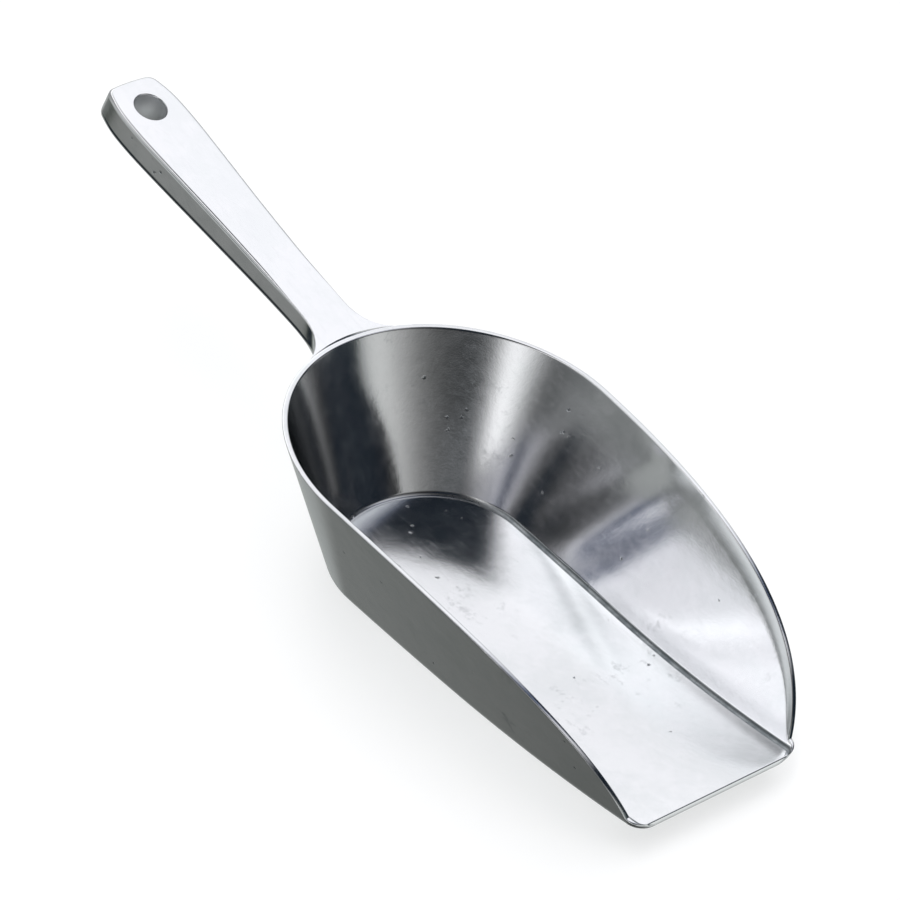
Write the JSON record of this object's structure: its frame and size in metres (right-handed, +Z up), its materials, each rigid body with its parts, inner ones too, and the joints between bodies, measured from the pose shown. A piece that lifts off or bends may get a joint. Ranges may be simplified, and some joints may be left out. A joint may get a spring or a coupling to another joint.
{
  "type": "ice scoop",
  "caption": "Cast aluminium ice scoop: flat-bottomed flared bowl with a falling rim and swept-up open lip, and a solid rising handle with a hanging hole",
  "frame": {"origin": "centre of the bounding box in plan, at the level of the flat underside the scoop stands on", "axes": "+X from the handle's end to the pouring lip, +Y to the left of someone holding the handle and facing the lip, +Z up"},
  "size_m": [0.32, 0.1306, 0.0769],
  "materials": {
    "cast_aluminium": "satin"
  },
  "bodies": {
    "root": {"bowl": "cast_aluminium", "handle": "cast_aluminium"}
  },
  "joints": []
}
